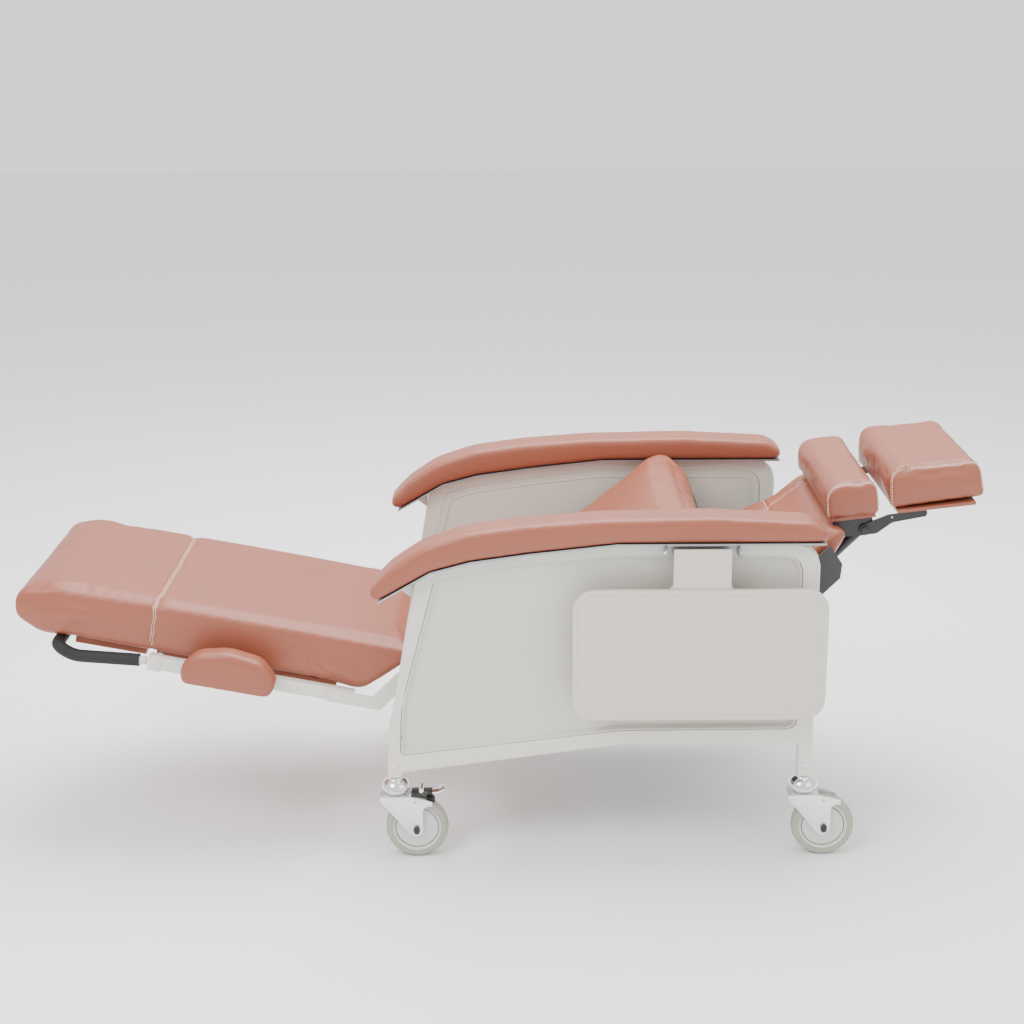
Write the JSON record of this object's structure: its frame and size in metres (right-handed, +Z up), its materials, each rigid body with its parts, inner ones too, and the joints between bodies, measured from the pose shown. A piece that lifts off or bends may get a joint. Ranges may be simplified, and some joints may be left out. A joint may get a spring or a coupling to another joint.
{
  "type": "patient recliner chair",
  "caption": "Reclining patient chair with tilting seat, folding leg rest, padded head section, armrests, fold-up side tray and locking casters.",
  "frame": {"origin": "on the floor, under the middle of the whole chair's box in its reclined position", "axes": "+X along the chair from foot end to head end, +Y to the sitter's right, +Z up"},
  "size_m": [1.9615, 0.7415, 0.7837],
  "materials": {
    "vinyl": "soft semi-gloss dusty rose vinyl with a fine grain",
    "frame_white": "satin off-white powder coat",
    "panel_white": "fine textured off-white moulded sheet",
    "tray_plastic": "satin warm off-white moulded plastic",
    "black_steel": "satin black paint",
    "foam_grip": "matte black foam sleeve",
    "rear_cloth": "dark grey coated cloth",
    "chrome": "polished",
    "zinc": "bright zinc plate",
    "tyre": "matte grey-green",
    "hub": "pale moulded plastic",
    "plate_steel": "bare sheet steel"
  },
  "bodies": {
    "root": {"armrest_pad_left": "vinyl", "armrest_pad_right": "vinyl", "armrest_plate_left": "plate_steel", "armrest_plate_right": "plate_steel", "cross_tube_front": "frame_white", "cross_tube_rear": "frame_white", "front_left_caster_head": "chrome", "front_right_caster_head": "chrome", "lock_lug": "frame_white", "rear_left_caster_head": "chrome", "rear_right_caster_head": "chrome", "side_frame_left": "frame_white", "side_frame_right": "frame_white", "side_panel_left": "panel_white", "side_panel_right": "panel_white", "tray_hanger": "plate_steel"},
    "back": {"back_frame": "black_steel", "back_cushion": "vinyl", "back_rear_cover": "rear_cloth", "back_pivot_pin_left": "black_steel", "back_pivot_pin_right": "black_steel"},
    "neck": {"neck_board": "black_steel", "neck_cushion": "vinyl", "neck_bracket_left": "black_steel", "neck_bracket_right": "black_steel"},
    "headrest": {"head_board": "black_steel", "head_cushion": "vinyl", "head_arm_left": "black_steel", "head_arm_right": "black_steel"},
    "seat": {"seat_cushion": "vinyl", "seat_board": "black_steel", "seat_side_plate_left": "black_steel", "seat_side_plate_right": "black_steel"},
    "legrest": {"leg_board": "black_steel", "calf_cushion": "vinyl", "leg_rail_left": "frame_white", "leg_rail_right": "frame_white", "leg_bolster_left": "vinyl", "leg_bolster_right": "vinyl"},
    "foot": {"foot_cushion": "vinyl", "foot_board": "black_steel", "foot_bar": "foam_grip"},
    "tray": {"side_tray": "tray_plastic"},
    "front_left_swivel": {"front_left_caster_fork": "zinc"},
    "front_left_wheel": {"front_left_hub": "hub", "front_left_tyre": "tyre"},
    "front_left_pedal": {"front_left_brake_pedal": "black_steel"},
    "front_right_swivel": {"front_right_caster_fork": "zinc"},
    "front_right_wheel": {"front_right_hub": "hub", "front_right_tyre": "tyre"},
    "front_right_pedal": {"front_right_brake_pedal": "black_steel"},
    "rear_left_swivel": {"rear_left_caster_fork": "zinc"},
    "rear_left_wheel": {"rear_left_hub": "hub", "rear_left_tyre": "tyre"},
    "rear_right_swivel": {"rear_right_caster_fork": "zinc"},
    "rear_right_wheel": {"rear_right_hub": "hub", "rear_right_tyre": "tyre"}
  },
  "joints": [
    {"name": "recline", "type": "hinge", "parent": "root", "child": "back", "pos_m": [0.608, 0, 0.519], "axis": [0, -1, 0], "range_deg": [0, 34]},
    {"name": "seat_tilt", "type": "hinge", "parent": "root", "child": "seat", "pos_m": [0.1, 0, 0.45], "axis": [0, -1, 0], "range_deg": [-34, 0]},
    {"name": "leg_lift", "type": "hinge", "parent": "seat", "child": "legrest", "pos_m": [-0.16, 0, 0.4], "axis": [0, -1, 0], "range_deg": [0, 95]},
    {"name": "foot_fold", "type": "hinge", "parent": "legrest", "child": "foot", "pos_m": [-0.68817, 0, 0.51285], "axis": [0, -1, 0], "range_deg": [-88, 0]},
    {"name": "neck_tilt", "type": "hinge", "parent": "back", "child": "neck", "pos_m": [0.73387, 0, 0.64487], "axis": [0, -1, 0], "range_deg": [0, 25.5]},
    {"name": "headrest_tilt", "type": "hinge", "parent": "neck", "child": "headrest", "pos_m": [0.73387, 0, 0.64487], "axis": [0, -1, 0], "range_deg": [-30, 8]},
    {"name": "tray_lift", "type": "hinge", "parent": "root", "child": "tray", "pos_m": [0.39, -0.366, 0.6555], "axis": [-1, 0, 0], "range_deg": [0, 90]},
    {"name": "front_left_swivel_turn", "type": "hinge", "parent": "root", "child": "front_left_swivel", "pos_m": [-0.213, -0.319, 0.135], "axis": [0, 0, 1], "continuous": true},
    {"name": "front_left_wheel_spin", "type": "hinge", "parent": "front_left_swivel", "child": "front_left_wheel", "pos_m": [-0.171, -0.319, 0.0635], "axis": [0, 1, 0], "continuous": true},
    {"name": "front_left_brake_press", "type": "hinge", "parent": "front_left_swivel", "child": "front_left_pedal", "pos_m": [-0.1815, -0.319, 0.139], "axis": [0, 1, 0], "range_deg": [0, 8]},
    {"name": "front_right_swivel_turn", "type": "hinge", "parent": "root", "child": "front_right_swivel", "pos_m": [-0.213, 0.319, 0.135], "axis": [0, 0, 1], "continuous": true},
    {"name": "front_right_wheel_spin", "type": "hinge", "parent": "front_right_swivel", "child": "front_right_wheel", "pos_m": [-0.171, 0.319, 0.0635], "axis": [0, 1, 0], "continuous": true},
    {"name": "front_right_brake_press", "type": "hinge", "parent": "front_right_swivel", "child": "front_right_pedal", "pos_m": [-0.1815, 0.319, 0.139], "axis": [0, 1, 0], "range_deg": [0, 8]},
    {"name": "rear_left_swivel_turn", "type": "hinge", "parent": "root", "child": "rear_left_swivel", "pos_m": [0.608, -0.319, 0.135], "axis": [0, 0, 1], "continuous": true},
    {"name": "rear_left_wheel_spin", "type": "hinge", "parent": "rear_left_swivel", "child": "rear_left_wheel", "pos_m": [0.65, -0.319, 0.0635], "axis": [0, 1, 0], "continuous": true},
    {"name": "rear_right_swivel_turn", "type": "hinge", "parent": "root", "child": "rear_right_swivel", "pos_m": [0.608, 0.319, 0.135], "axis": [0, 0, 1], "continuous": true},
    {"name": "rear_right_wheel_spin", "type": "hinge", "parent": "rear_right_swivel", "child": "rear_right_wheel", "pos_m": [0.65, 0.319, 0.0635], "axis": [0, 1, 0], "continuous": true}
  ],
  "couplings": [
    {"joint": "seat_tilt", "follows": "recline", "ratio": -1},
    {"joint": "leg_lift", "follows": "recline", "ratio": 2.7941},
    {"joint": "foot_fold", "follows": "recline", "ratio": -2.5882},
    {"joint": "neck_tilt", "follows": "recline", "ratio": 0.75}
  ]
}
